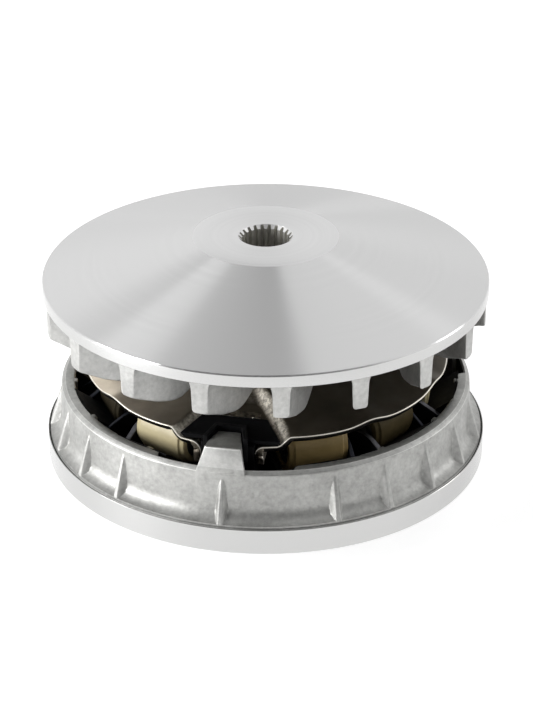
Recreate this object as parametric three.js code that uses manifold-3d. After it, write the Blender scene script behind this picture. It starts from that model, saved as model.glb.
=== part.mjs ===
// Drive pulley set of a scooter's belt transmission, stacked for storage: the sliding sheave lies on its
// belt-side hub with the ramp plate, slides and roller weights in its back, and the fixed sheave rests on
// top with its fan blades down. Millimetres, +Z up, origin at the centre of the face that the set stands on.
import * as THREE from "three";
import { mergeVertices } from "three/addons/utils/BufferGeometryUtils.js";
import Module from "manifold-3d";

const wasm = await Module();
wasm.setup();

// ---- Driving dimensions -------------------------------------------------------------------------------
const SHEAVE_R = 80; // outside radius of both sheaves
const CONE_DEG = 15; // slope of the belt faces
const ROUND = 72; // facets round the large castings
const SMALL_ROUND = 40; // facets round the bush, seals and collar
const GUIDES = 3; // guide towers, with a slide on each
const GUIDE_DEG = -11.5; // bearing of the first tower, measured from -Y towards +X
const ROLLER_OFFSETS = [29.5, 61.3, 93.1]; // bearings of the rollers past each tower

const HUB_FLAT_R = 28; // flat ring that the set stands on
const RIM_Z = (SHEAVE_R - HUB_FLAT_R) * Math.tan(rad(CONE_DEG)); // height of the sliding sheave's rim
const BAND_H = 9.4; // machined band round the rim
const WALL_R = 75; // outside of the roller housing's wall
const WALL_IN_R = 69.4;
const WALL_TOP = RIM_Z + 29;
const TOWER_TOP = RIM_Z + 37.5;
const BUSH_SEAT_R = 15.6;

const ROLLER_R = 10.5;
const ROLLER_HALF = 10.75; // half the roller's length
const ROLLER_REST_R = 50; // distance of a roller's centre from the axis, against the inner stop
const RAMP_DEG = 38; // slope of the ramps cast into the sliding sheave
const TRACK_DEG = 11; // slope of the ramp plate's tracks
const CLEARANCE = 0.15;

const PLATE_R = 66;
const PLATE_T = 2.4;
const PLATE_EDGE_Z = RIM_Z + 37.5; // upper side of the plate at its rim
const PLATE_FLAT_R = 26;
const ARM_DROP = 3.7; // depth of the pressed hollow round each slide

const HUB_FACE_R = 25.75; // flat ring in the middle of the fixed sheave's belt face
const HUB_FACE_Z = RIM_Z + 83.6;
const EDGE_T = 4.6; // height of the fixed sheave's machined edge
const BLADES = 18;
const BLADE_DEG = 3.6; // bearing of the first blade's outer end
const BLADE_BOTTOM = RIM_Z + 52.8;
const SPLINE_TEETH = 22;
const SPLINE_R = 9.6;
const SPLINE_TIP_R = 8.5;
const SHAFT_BORE_R = 9.8; // plain bores that clear the shaft's splines

const fixedRimZ = HUB_FACE_Z - (SHEAVE_R - HUB_FACE_R) * Math.tan(rad(CONE_DEG));
const tanTrack = Math.tan(rad(TRACK_DEG));
const tanRamp = Math.tan(rad(RAMP_DEG));
const rollerZ =
  PLATE_EDGE_Z -
  PLATE_T / Math.cos(rad(TRACK_DEG)) +
  (PLATE_R - ROLLER_REST_R) * tanTrack -
  (ROLLER_R + CLEARANCE) / Math.cos(rad(TRACK_DEG));
const camHubTop = RIM_Z + 49.2;
const camHubBottom = RIM_Z + 41;

// ---- Small tools --------------------------------------------------------------------------------------
function rad(degrees) {
  return (degrees * Math.PI) / 180;
}

// The direction of a bearing, which starts at -Y and grows towards +X, as an angle from +X.
const angleOf = (bearing) => rad(bearing - 90);

function towers() {
  return Array.from({ length: GUIDES }, (_, k) => GUIDE_DEG + (k * 360) / GUIDES);
}

function rollerBearings() {
  return towers().flatMap((tower) => ROLLER_OFFSETS.map((offset) => tower + offset));
}

// A closed geometry as a solid, turned the right way out.
function solid(geometry) {
  const bare = geometry.index ? geometry.toNonIndexed() : geometry.clone();
  bare.deleteAttribute("normal");
  bare.deleteAttribute("uv");
  const merged = mergeVertices(bare, 1e-4);
  const vertProperties = new Float32Array(merged.attributes.position.array);
  const triVerts = new Uint32Array(merged.index.array);
  const make = () => new wasm.Manifold(new wasm.Mesh({ numProp: 3, vertProperties, triVerts }));
  const made = make();
  if (made.volume() >= 0) return made;
  for (let i = 0; i < triVerts.length; i += 3) {
    [triVerts[i + 1], triVerts[i + 2]] = [triVerts[i + 2], triVerts[i + 1]];
  }
  return make();
}

function geometryOf(made) {
  const mesh = made.getMesh();
  const positions = new Float32Array(mesh.numVert * 3);
  for (let i = 0; i < mesh.numVert; i++) {
    positions.set(mesh.vertProperties.subarray(i * mesh.numProp, i * mesh.numProp + 3), i * 3);
  }
  const geometry = new THREE.BufferGeometry();
  geometry.setAttribute("position", new THREE.BufferAttribute(positions, 3));
  geometry.setIndex(new THREE.BufferAttribute(new Uint32Array(mesh.triVerts), 1));
  return geometry;
}

const sum = (solids) => solids.reduce((a, b) => a.add(b));

// A ring turned about Z from a closed outline of [radius, height] points.
function turned(outline, segments) {
  const loop = [...outline, outline[0]].map(([r, z]) => new THREE.Vector2(r, z));
  const geometry = new THREE.LatheGeometry(loop, segments);
  geometry.rotateX(Math.PI / 2);
  return geometry;
}

// A plate with the outline [along, up] in the plane of a bearing and the given half width across it.
function radialPlate(outline, halfWidth, bearing) {
  const shape = new THREE.Shape(outline.map(([u, z]) => new THREE.Vector2(u, z)));
  const geometry = new THREE.ExtrudeGeometry(shape, { depth: 2 * halfWidth, bevelEnabled: false });
  geometry.translate(0, 0, -halfWidth);
  geometry.rotateX(Math.PI / 2);
  geometry.rotateZ(angleOf(bearing));
  return geometry;
}

// A block across a bearing: from u0 to u1 along it, t0 to t1 across it and z0 to z1 in height.
function block([u0, u1], [t0, t1], [z0, z1], bearing) {
  const geometry = new THREE.BoxGeometry(u1 - u0, t1 - t0, z1 - z0);
  geometry.translate((u0 + u1) / 2, (t0 + t1) / 2, (z0 + z1) / 2);
  geometry.rotateZ(angleOf(bearing));
  return geometry;
}

// A point at a distance along a bearing, a distance across it and a height.
function pointAt(bearing, u, t, z) {
  const a = angleOf(bearing);
  return [u * Math.cos(a) - t * Math.sin(a), u * Math.sin(a) + t * Math.cos(a), z];
}

// A prism with the plan [along, across] seen from a bearing, from z0 to z1.
function upright(plan, [z0, z1], bearing) {
  return loft([z0, z1].map((z) => plan.map(([u, t]) => pointAt(bearing, u, t, z))));
}

// A closed skin through sections that have the same number of [x, y, z] points.
function loft(sections) {
  const count = sections[0].length;
  const positions = sections.flat(2);
  const index = [];
  for (let s = 0; s + 1 < sections.length; s++) {
    for (let i = 0; i < count; i++) {
      const a = s * count + i;
      const b = s * count + ((i + 1) % count);
      index.push(a, b, a + count, b, b + count, a + count);
    }
  }
  const last = (sections.length - 1) * count;
  for (let i = 1; i + 1 < count; i++) {
    index.push(0, i + 1, i, last, last + i, last + i + 1);
  }
  const geometry = new THREE.BufferGeometry();
  geometry.setAttribute("position", new THREE.Float32BufferAttribute(positions, 3));
  geometry.setIndex(index);
  return geometry;
}

// ---- Sliding sheave -----------------------------------------------------------------------------------
// Height of a pocket's ramp at a distance from the axis.
function rampFloor(r) {
  const under = (ROLLER_R + CLEARANCE) / Math.cos(rad(RAMP_DEG));
  return rollerZ + (r - ROLLER_REST_R) * tanRamp - under;
}

function slidingSheaveBody() {
  const z = RIM_Z;
  return solid(
    turned(
      [
        [BUSH_SEAT_R, 0],
        [HUB_FLAT_R, 0],
        [SHEAVE_R, z],
        [SHEAVE_R, z + BAND_H],
        [78.6, z + 9.9],
        [76, z + 12.2],
        [WALL_R, z + 16],
        [WALL_R - 0.6, z + 27.8],
        [WALL_R - 1.8, WALL_TOP],
        [WALL_IN_R, WALL_TOP],
        [WALL_IN_R, z + 3.2],
        [35, z - 6.5],
        [20.5, z - 6.5],
        [20.5, z + 30],
        [BUSH_SEAT_R, z + 30],
      ],
      ROUND,
    ),
  );
}

// The thick cheeks that stand either side of a roller, and the pocket that is cut between them.
function pocketCheeks(bearing) {
  const z = RIM_Z;
  const outline = [
    [33.4, z - 7.6],
    [69.7, z + 2],
    [69.7, z + 28],
    [33.4, z + 28],
  ];
  return solid(radialPlate(outline, ROLLER_HALF + 2.1, bearing));
}

function pocket(bearing) {
  const innerR = ROLLER_REST_R - ROLLER_R - 0.3;
  const outerR = WALL_IN_R;
  const outline = [
    [innerR, rampFloor(innerR)],
    [outerR, rampFloor(outerR)],
    [outerR, RIM_Z + 45],
    [innerR, RIM_Z + 45],
  ];
  return solid(radialPlate(outline, ROLLER_HALF + 0.3, bearing));
}

// Either side of a tower the wall is thinned to make room for the arms of the slide.
function wallNotches(bearing) {
  return [-12.9, 12.9].map((offset) =>
    solid(block([66, 72.4], [-7.4, 7.4], [RIM_Z + 18, WALL_TOP + 1], bearing + offset)),
  );
}

// The rail of a guide tower narrows towards the axis.
const RAIL_BACK = 61.9;
const RAIL_FRONT = 72.5;
const railHalf = (u) => 4 + (u - RAIL_BACK) * 0.245;

// A plan that keeps the same distance from both flanks of a rail, between two distances from the axis.
function railPlan(back, front, gap) {
  const [near, far] = [railHalf(back) + gap, railHalf(front) + gap];
  return [[back, -near], [front, -far], [front, far], [back, near]];
}

// A guide tower: a rail inside the wall, and a flared root where it stands on the wall.
function tower(bearing) {
  const rail = solid(upright(railPlan(RAIL_BACK, RAIL_FRONT, 0), [RIM_Z - 1, TOWER_TOP], bearing));
  const section = (half, outer, z) =>
    [[70, -half], [outer, -half], [outer, half], [70, half]].map(([u, t]) => pointAt(bearing, u, t, z));
  const root = loft([
    section(9, 73.2, WALL_TOP - 4),
    section(8.4, 73.2, WALL_TOP),
    section(6.5, 72.9, TOWER_TOP),
  ]);
  return rail.add(solid(root));
}

// Fins run down the wall every 15 degrees, left out next to each tower.
function finBearings() {
  const perTower = [0, 30, 45, 60, 75, 90];
  return towers().flatMap((t) => perTower.map((offset) => t + offset));
}

function fin(bearing) {
  const z = RIM_Z;
  const outline = [
    [73.6, z + 9.2],
    [79.2, z + 9.2],
    [78.4, z + 12.4],
    [73.6, z + 26.5],
  ];
  return solid(radialPlate(outline, 1.5, bearing));
}

function slidingSheave() {
  const cheeks = rollerBearings().map(pocketCheeks);
  const fins = finBearings().map(fin);
  const solidCasting = sum([slidingSheaveBody(), ...cheeks, ...towers().map(tower), ...fins]);
  const hollows = [...rollerBearings().map(pocket), ...towers().flatMap(wallNotches)];
  return geometryOf(solidCasting.subtract(sum(hollows)));
}

// ---- Guide bush and grease seals ----------------------------------------------------------------------
const BUSH_GAP = 0.06; // running clearance to the collar
const COLLAR_R = 13.5;
const SEAL_H = 5;
const SEAL_LOW_Z = 2;
const SEAL_HIGH_Z = RIM_Z + 30 - 1 - SEAL_H;

function bush() {
  const low = SEAL_LOW_Z + SEAL_H + 0.5;
  const high = SEAL_HIGH_Z - 0.5;
  const inner = COLLAR_R + BUSH_GAP;
  const outer = BUSH_SEAT_R - 0.03;
  const outline = [[inner, low], [outer, low], [outer, high], [inner, high]];
  return turned(outline, SMALL_ROUND);
}

function greaseSeal(z) {
  const outer = BUSH_SEAT_R - 0.03;
  const lip = COLLAR_R + BUSH_GAP;
  return turned(
    [[outer, z], [outer, z + SEAL_H], [lip + 1, z + SEAL_H], [lip, z + SEAL_H / 2], [lip + 1, z]],
    SMALL_ROUND,
  );
}

// ---- Collar, ramp plate and its hub -------------------------------------------------------------------
function collar() {
  const top = camHubBottom;
  return turned(
    [
      [SHAFT_BORE_R, 0],
      [COLLAR_R - 0.6, 0],
      [COLLAR_R, 0.6],
      [COLLAR_R, top - 0.6],
      [COLLAR_R - 0.6, top],
      [SHAFT_BORE_R, top],
    ],
    SMALL_ROUND,
  );
}

const PLATE_HOLE_R = 15;

function camHub() {
  const seat = PLATE_FLAT_Z + 0.1;
  const neck = PLATE_HOLE_R - 0.1;
  return turned(
    [
      [SHAFT_BORE_R, camHubBottom + 0.05],
      [neck, camHubBottom + 0.05],
      [neck, seat],
      [20, seat],
      [20, camHubTop],
      [SHAFT_BORE_R, camHubTop],
    ],
    SMALL_ROUND,
  );
}

// The plate's upper side: each roller has a flat track, and the tracks meet in shallow folds round a flat
// middle. Round each tower the plate is pressed down between two folds that spread towards the rim, each of
// them just inside the end of the nearest roller.
const PLATE_FLAT_Z = PLATE_EDGE_Z + (PLATE_R - PLATE_FLAT_R) * tanTrack;
const FOLDS = [
  { side: -1, at: 5.9, slope: 0.507 },
  { side: 1, at: 7.6, slope: 0.575 },
];
const FOLD_AT_R = 39.9; // distance from the axis at which a fold's "at" is given
const FOLD_W = 4.5;
const ABOVE = PLATE_EDGE_Z + 40;

// Distance across from the middle of a slide to the foot of a fold.
const foldFoot = (fold, u) => fold.at + fold.slope * (u - FOLD_AT_R) - FOLD_W / 2;

// Height of a track, and of the pressed arms beside a slide, at a distance along a bearing.
const trackTop = (along) => PLATE_EDGE_Z + (PLATE_R - along) * tanTrack;
const armTop = (along) => trackTop(along) - ARM_DROP;

function disc(radius, low, high) {
  const geometry = new THREE.CylinderGeometry(radius, radius, high - low, ROUND);
  geometry.rotateX(Math.PI / 2);
  geometry.translate(0, 0, (low + high) / 2);
  return solid(geometry);
}

// Everything above the tracks and the flat middle.
function spaceOverTracks() {
  const wedges = rollerBearings().map((bearing) => {
    const outline = [[0, trackTop(0)], [90, trackTop(90)], [90, ABOVE], [0, ABOVE]];
    return solid(radialPlate(outline, 90, bearing));
  });
  return sum([...wedges, disc(90, PLATE_FLAT_Z, ABOVE)]);
}

// The space over a pressed hollow: its floor is the arms' plane and its sides are the folds.
function hollowSpace(bearing) {
  const rise = (FOLD_W / ARM_DROP) * 20;
  const section = (u, floor) => {
    const [before, after] = FOLDS.map((fold) => fold.side * foldFoot(fold, u));
    const corners = [
      [before, floor],
      [after, floor],
      [after + rise, floor + 20],
      [before - rise, floor + 20],
    ];
    return corners.map(([t, z]) => pointAt(bearing, u, t, z));
  };
  return solid(loft([section(34, armTop(34) + 3), section(44, armTop(44)), section(80, armTop(80))]));
}

function plateSheet() {
  const over = sum([spaceOverTracks(), ...towers().map(hollowSpace)]);
  const sheet = disc(PLATE_R, RIM_Z + 20, ABOVE - 1)
    .subtract(over)
    .subtract(disc(PLATE_HOLE_R, RIM_Z, ABOVE));
  const below = disc(PLATE_R + 1, RIM_Z + 10, ABOVE - 1)
    .subtract(over)
    .translate([0, 0, -PLATE_T / Math.cos(rad(TRACK_DEG))]);
  return sheet.subtract(below);
}

const CUTOUT_HALF = 9.6;
const CUTOUT_BACK = 50;
const LIP_BOTTOM = RIM_Z + 26.5;

function plateCutout(bearing) {
  return solid(block([CUTOUT_BACK, 75], [-CUTOUT_HALF, CUTOUT_HALF], [RIM_Z, RIM_Z + 60], bearing));
}

// The lips bent down along a cut-out, which hold the slide.
function plateLips(bearing) {
  const [inner, outer] = [57.5, 64];
  return [-1, 1].map((side) => {
    const across = [side * CUTOUT_HALF, side * (CUTOUT_HALF + PLATE_T)].sort((a, b) => a - b);
    return solid(block([inner, outer], across, [LIP_BOTTOM, armTop(outer) - 0.6], bearing));
  });
}

function rampPlate() {
  const cut = plateSheet().subtract(sum(towers().map(plateCutout)));
  return geometryOf(cut.add(sum(towers().flatMap(plateLips))));
}

// ---- Slides -------------------------------------------------------------------------------------------
const SLIDE_TOP = RIM_Z + 39.2;
const SLIDE_WALL = 1.7; // thickness of the collar round the tower's rail
const RAIL_GAP = 0.4;
const WING_BACK = 52.5;
const WING_FRONT = 63.8;
const WING_T = 1.7;

// The wings that rest on the arms of the plate, out to the folds.
function slideWings(bearing) {
  const section = (u) => {
    const low = armTop(u) + 0.3;
    const [left, right] = FOLDS.map((fold) => fold.side * (foldFoot(fold, u) - 0.1));
    const lean = WING_T * 0.9;
    const corners = [
      [left, low],
      [right, low],
      [right + lean, low + WING_T],
      [left - lean, low + WING_T],
    ];
    return corners.map(([t, z]) => pointAt(bearing, u, t, z));
  };
  return solid(loft([section(WING_BACK), section(WING_FRONT)]));
}

// A slide: a block held between the lips of the plate, its wings, and a collar that straddles the rail.
function slide(bearing) {
  const half = CUTOUT_HALF - 0.3;
  const body = solid(block([CUTOUT_BACK + 1, 66], [-half, half], [RIM_Z + 20, armTop(WING_BACK)], bearing));
  const front = 69;
  const collarPlan = railPlan(RAIL_BACK - 2.6, front, RAIL_GAP + SLIDE_WALL);
  const slideCollar = solid(upright(collarPlan, [WALL_TOP + 1, SLIDE_TOP], bearing));
  const channelPlan = railPlan(RAIL_BACK - 0.7, front + 2, RAIL_GAP);
  const channel = solid(upright(channelPlan, [RIM_Z + 10, RIM_Z + 50], bearing));
  return geometryOf(sum([body, slideWings(bearing), slideCollar]).subtract(channel));
}

// ---- Roller weights -----------------------------------------------------------------------------------
const CORE_R = 7.4;
const CORE_BORE_R = 4.2;
const ROLLER_ROUND = 24;

function placeRoller(geometry, bearing) {
  geometry.rotateX(Math.PI / 2);
  geometry.translate(ROLLER_REST_R, 0, rollerZ);
  geometry.rotateZ(angleOf(bearing));
  return geometry;
}

function rollerSleeve(bearing) {
  const h = ROLLER_HALF;
  const inner = CORE_R + 0.05;
  const outline = [
    [inner, -h],
    [ROLLER_R - 1, -h],
    [ROLLER_R, -h + 1],
    [ROLLER_R, h - 1],
    [ROLLER_R - 1, h],
    [inner, h],
  ];
  return placeRoller(turned(outline, ROLLER_ROUND), bearing);
}

function rollerCore(bearing) {
  const h = ROLLER_HALF - 0.8;
  const outline = [[CORE_BORE_R, -h], [CORE_R, -h], [CORE_R, h], [CORE_BORE_R, h]];
  return placeRoller(turned(outline, ROLLER_ROUND), bearing);
}

// ---- Fixed sheave -------------------------------------------------------------------------------------
const BOSS_R = 21;
const SPLINE_LOW_Z = RIM_Z + 60;

function fixedUnderside(r) {
  return fixedRimZ - EDGE_T + 1.4 + (74 - r) * Math.tan(rad(CONE_DEG));
}

function fixedSheaveBody() {
  const bossBottom = camHubTop + 0.05;
  return solid(
    turned(
      [
        [SPLINE_TIP_R, HUB_FACE_Z],
        [SPLINE_TIP_R, SPLINE_LOW_Z],
        [12, SPLINE_LOW_Z],
        [12, bossBottom],
        [BOSS_R - 1, bossBottom],
        [BOSS_R, bossBottom + 1],
        [BOSS_R + 2, fixedUnderside(BOSS_R) - 3],
        [BOSS_R + 6, fixedUnderside(BOSS_R + 6)],
        [74, fixedUnderside(74)],
        [77, fixedRimZ - EDGE_T],
        [SHEAVE_R, fixedRimZ - EDGE_T],
        [SHEAVE_R, fixedRimZ],
        [HUB_FACE_R, HUB_FACE_Z],
      ],
      ROUND,
    ),
  );
}

// A fan blade: a straight vane that leans back from the radius by the sweep, so that its bearing grows as
// it runs inwards. Its lower edge dips towards the middle and then climbs to the underside.
const BLADE_SWEEP_DEG = 26;
const BLADE_START_R = 79.2;
const BLADE_STATIONS = [
  { along: 0.4, bottom: BLADE_BOTTOM, half: 2.5 },
  { along: 8, bottom: BLADE_BOTTOM - 2.9, half: 2.4 },
  { along: 17, bottom: BLADE_BOTTOM - 5.2, half: 2.2 },
  { along: 22, bottom: BLADE_BOTTOM - 2.8, half: 2 },
  { along: 27, bottom: BLADE_BOTTOM + 1, half: 1.8 },
  { along: 31, bottom: BLADE_BOTTOM + 10, half: 1.7 },
];

function blade(bearing) {
  const start = angleOf(bearing);
  const inwards = start + Math.PI - rad(BLADE_SWEEP_DEG);
  const point = (along, across, z) => [
    BLADE_START_R * Math.cos(start) + along * Math.cos(inwards) + across * Math.sin(inwards),
    BLADE_START_R * Math.sin(start) + along * Math.sin(inwards) - across * Math.cos(inwards),
    z,
  ];
  // The outer end is cut along the rim, so it follows the sweep across the blade.
  const sections = BLADE_STATIONS.map(({ along, bottom, half }, k) => {
    const skew = k === 0 ? Math.tan(rad(BLADE_SWEEP_DEG)) : 0;
    const [x, y] = point(along, 0, 0);
    const top = Math.max(fixedUnderside(Math.hypot(x, y)), fixedRimZ - EDGE_T) + 1.6;
    const corner = (across, z) => point(along + skew * across, across, z);
    const root = half + 0.5;
    return [corner(-root, top), corner(root, top), corner(half, bottom), corner(-half, bottom)];
  });
  return solid(loft(sections));
}

// The female splines: a bore with trapezoid grooves between the teeth.
function splineCutter() {
  const shape = new THREE.Shape();
  const pitch = (2 * Math.PI) / SPLINE_TEETH;
  const corners = [
    [-0.34, SPLINE_TIP_R - 0.2],
    [-0.16, SPLINE_R],
    [0.16, SPLINE_R],
    [0.34, SPLINE_TIP_R - 0.2],
  ];
  for (let k = 0; k < SPLINE_TEETH; k++) {
    for (const [share, r] of corners) {
      const a = (k + share) * pitch;
      const [x, y] = [r * Math.cos(a), r * Math.sin(a)];
      if (k === 0 && share === corners[0][0]) shape.moveTo(x, y);
      else shape.lineTo(x, y);
    }
  }
  shape.closePath();
  const depth = HUB_FACE_Z - SPLINE_LOW_Z + 2;
  const geometry = new THREE.ExtrudeGeometry(shape, { depth, bevelEnabled: false });
  geometry.translate(0, 0, SPLINE_LOW_Z - 1);
  return solid(geometry);
}

function fixedSheave() {
  const blades = Array.from({ length: BLADES }, (_, k) => blade(BLADE_DEG + (k * 360) / BLADES));
  return geometryOf(fixedSheaveBody().add(sum(blades)).subtract(splineCutter()));
}

// ---- Assembly -----------------------------------------------------------------------------------------
const MATERIALS = {
  castAluminium: { color: 0xb4b6b5, roughness: 0.5, metalness: 0.9 },
  turnedAluminium: { color: 0xc8c9cb, roughness: 0.3, metalness: 0.95 },
  pressedSteel: { color: 0x6f6354, roughness: 0.35, metalness: 0.85 },
  hubSteel: { color: 0x8b8a86, roughness: 0.35, metalness: 0.9 },
  blackPlastic: { color: 0x121214, roughness: 0.55, metalness: 0 },
  tanNylon: { color: 0xb7ab86, roughness: 0.5, metalness: 0 },
  weightSteel: { color: 0x6d6c6a, roughness: 0.45, metalness: 0.9 },
  bronze: { color: 0x9c7f4e, roughness: 0.4, metalness: 0.85 },
  sealRubber: { color: 0x1c1c1e, roughness: 0.7, metalness: 0 },
};

const group = new THREE.Group();

function put(name, geometry, finish) {
  const mesh = new THREE.Mesh(geometry, new THREE.MeshStandardMaterial(MATERIALS[finish]));
  mesh.name = name;
  group.add(mesh);
}

put("sliding_sheave", slidingSheave(), "castAluminium");
put("guide_bush", bush(), "bronze");
put("grease_seal_lower", greaseSeal(SEAL_LOW_Z), "sealRubber");
put("grease_seal_upper", greaseSeal(SEAL_HIGH_Z), "sealRubber");
put("collar", collar(), "hubSteel");
put("ramp_plate", rampPlate(), "pressedSteel");
put("ramp_plate_hub", camHub(), "hubSteel");
towers().forEach((bearing, k) => put(`slide_${k + 1}`, slide(bearing), "blackPlastic"));
rollerBearings().forEach((bearing, k) => {
  put(`roller_sleeve_${k + 1}`, rollerSleeve(bearing), "tanNylon");
  put(`roller_core_${k + 1}`, rollerCore(bearing), "weightSteel");
});
put("fixed_sheave", fixedSheave(), "turnedAluminium");

export default group;
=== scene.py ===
"""Looks of a variator drive pulley set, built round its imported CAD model.

Lengths are millimetres, apart from the materials and the floor, lights and camera, which are in metres.
Heights are above the surface that the set stands on, and bearings are degrees from -Y towards +X.
"""

import math

import bmesh
import bpy
import numpy as np
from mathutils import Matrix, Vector


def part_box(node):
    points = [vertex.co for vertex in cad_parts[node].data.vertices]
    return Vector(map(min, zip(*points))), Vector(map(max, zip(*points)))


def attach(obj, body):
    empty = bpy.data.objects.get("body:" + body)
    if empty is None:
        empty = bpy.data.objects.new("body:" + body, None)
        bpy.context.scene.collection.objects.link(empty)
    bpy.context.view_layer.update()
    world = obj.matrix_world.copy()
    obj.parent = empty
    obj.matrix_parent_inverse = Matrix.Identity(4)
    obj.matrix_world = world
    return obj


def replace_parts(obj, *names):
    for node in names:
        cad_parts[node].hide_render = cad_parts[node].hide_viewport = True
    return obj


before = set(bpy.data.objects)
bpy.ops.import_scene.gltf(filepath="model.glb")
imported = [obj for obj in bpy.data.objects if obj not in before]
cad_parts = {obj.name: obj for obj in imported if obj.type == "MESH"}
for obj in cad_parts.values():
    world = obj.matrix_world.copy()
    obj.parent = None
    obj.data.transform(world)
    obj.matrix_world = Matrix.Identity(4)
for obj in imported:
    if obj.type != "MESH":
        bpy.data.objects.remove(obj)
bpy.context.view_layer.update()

# ---- Dimensions ---------------------------------------------------------------------------------------
MM = 0.001


def node_box(name):
    low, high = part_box(name)
    return np.array(low) / MM, np.array(high) / MM


RIM_R = node_box("fixed_sheave")[1][0]
HUB_TOP = node_box("fixed_sheave")[1][2]
CONE = math.radians(15)
HUB_FLAT_R = 28.0
HUB_FACE_R = 25.75
RIM_Z = (RIM_R - HUB_FLAT_R) * math.tan(CONE)
BAND_TOP = RIM_Z + 9.4
WALL_R = 75.0
WALL_IN_R = 69.4
WALL_TOP = RIM_Z + 29
TOWER_TOP = node_box("sliding_sheave")[1][2]
BUSH_R = node_box("guide_bush")[1][0]
COLLAR_R = node_box("collar")[1][0]
COLLAR_TOP = node_box("collar")[1][2]
HUB_BOTTOM, CAM_HUB_TOP = node_box("ramp_plate_hub")[0][2], node_box("ramp_plate_hub")[1][2]

TOWERS = [-11.5, 108.5, 228.5]
ROLLERS = [t + o for t in TOWERS for o in (29.5, 61.3, 93.1)]
# The roller with the deepest painted shade, on its sleeve and on its left rib's crest.
DEEP_SHADE_ROLLER = 8
FIN_OFFSETS = (0, 30, 45, 60, 75, 90)
FINS = [t + o for t in TOWERS for o in FIN_OFFSETS]

ROLLER_R = 10.5
ROLLER_HALF = 10.75
ROLLER_REST_R = 50.0
RAMP = math.radians(38)
TRACK = math.radians(11)
CLEARANCE = 0.15
PLATE_R = 66.0
PLATE_T = 2.4
PLATE_EDGE_Z = RIM_Z + 37.5
PLATE_FLAT_R = 26.0
PLATE_HOLE_R = 15.0
ARM_DROP = 3.7
FOLD_W = 4.5
FOLD_AT_R = 39.9
FOLDS = {-1: (5.9, 0.507), 1: (7.6, 0.575)}
CUTOUT_HALF = 9.6
CUTOUT_BACK = 50.0
RAIL_BACK = 61.9
ROLLER_Z = (
    PLATE_EDGE_Z
    - PLATE_T / math.cos(TRACK)
    + (PLATE_R - ROLLER_REST_R) * math.tan(TRACK)
    - (ROLLER_R + CLEARANCE) / math.cos(TRACK)
)

PLATE_FLAT_Z = PLATE_EDGE_Z + (PLATE_R - PLATE_FLAT_R) * math.tan(TRACK)

FIXED_RIM_Z = HUB_TOP - (RIM_R - HUB_FACE_R) * math.tan(CONE)
EDGE_T = 4.6
BLADES = 18
BLADE_BEARING = 3.6
BLADE_BOTTOM = RIM_Z + 52.8
BLADE_SWEEP = math.radians(26)
BLADE_START_R = 79.2
TEETH = 22


# ---- Mesh tools ---------------------------------------------------------------------------------------
def direction(bearing):
    """Unit vectors along a bearing and across it, the second towards growing bearings."""
    a = math.radians(bearing - 90)
    return np.array([math.cos(a), math.sin(a), 0]), np.array([-math.sin(a), math.cos(a), 0])


def smooth(x):
    t = np.clip(x, 0, 1)
    return t * t * (3 - 2 * t)


def soft_min(a, b, width):
    h = np.clip(0.5 + 0.5 * (b - a) / width, 0, 1)
    return b * (1 - h) + a * h - width * h * (1 - h) / 2


def soft_max(a, b, width):
    return -soft_min(-a, -b, width)


def make(name, verts, faces, materials, body, slot, face_slots=None, sharp=34, merge=0.0):
    """A mesh object from points in millimetres that rides on a body."""
    mesh = bpy.data.meshes.new(name)
    mesh.from_pydata([tuple(v) for v in np.asarray(verts) * MM], [], [tuple(f) for f in faces])
    for material in materials:
        mesh.materials.append(material)
    if face_slots is not None:
        mesh.polygons.foreach_set("material_index", np.asarray(face_slots, np.int32))
    bm = bmesh.new()
    bm.from_mesh(mesh)
    if merge:
        bmesh.ops.remove_doubles(bm, verts=bm.verts, dist=merge * MM)
    bmesh.ops.recalc_face_normals(bm, faces=bm.faces)
    bm.to_mesh(mesh)
    bm.free()
    mesh.shade_smooth()
    mesh.set_sharp_from_angle(angle=math.radians(sharp))
    obj = bpy.data.objects.new(name, mesh)
    bpy.context.scene.collection.objects.link(obj)
    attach(obj, body)
    return obj


def grid_faces(rows, columns, close_rows, close_columns, start=0):
    faces = []
    for i in range(rows if close_rows else rows - 1):
        for j in range(columns if close_columns else columns - 1):
            a = start + i * columns + j
            b = start + i * columns + (j + 1) % columns
            c = start + ((i + 1) % rows) * columns + (j + 1) % columns
            d = start + ((i + 1) % rows) * columns + j
            faces.append((a, b, c, d))
    return faces


class Parts:
    """Several closed shells gathered into one mesh."""

    def __init__(self):
        self.verts, self.faces, self.slots = [], [], []

    def add(self, points, faces, slot=0):
        start = len(self.verts)
        self.verts.extend(np.asarray(points).reshape(-1, 3))
        self.faces.extend(tuple(i + start for i in f) for f in faces)
        self.slots.extend(slot if isinstance(slot, (list, tuple)) else [slot] * len(faces))

    def loft(self, sections, slot=0):
        """Closed sections joined in a row and capped."""
        sections = np.asarray(sections)
        rows, columns = sections.shape[:2]
        faces = grid_faces(rows, columns, False, True)
        faces.append(tuple(range(columns)))
        faces.append(tuple(range((rows - 1) * columns, rows * columns)))
        self.add(sections, faces, slot)

    def make(self, name, materials, body, slot, **options):
        return make(name, self.verts, self.faces, materials, body, slot, self.slots, **options)


def circle(columns):
    return np.arange(columns) * 2 * math.pi / columns


def turned_points(profile, angles, warp=None):
    """Rows of points turned about Z from a list of (radius, height)."""
    r, z = (np.array(v, float)[:, None] + 0 * angles[None, :] for v in zip(*[p[:2] for p in profile]))
    if warp is not None:
        r, z = warp(r, z, np.broadcast_to(angles, r.shape))
    return np.stack([r * np.cos(angles), r * np.sin(angles), z], axis=-1)


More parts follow.
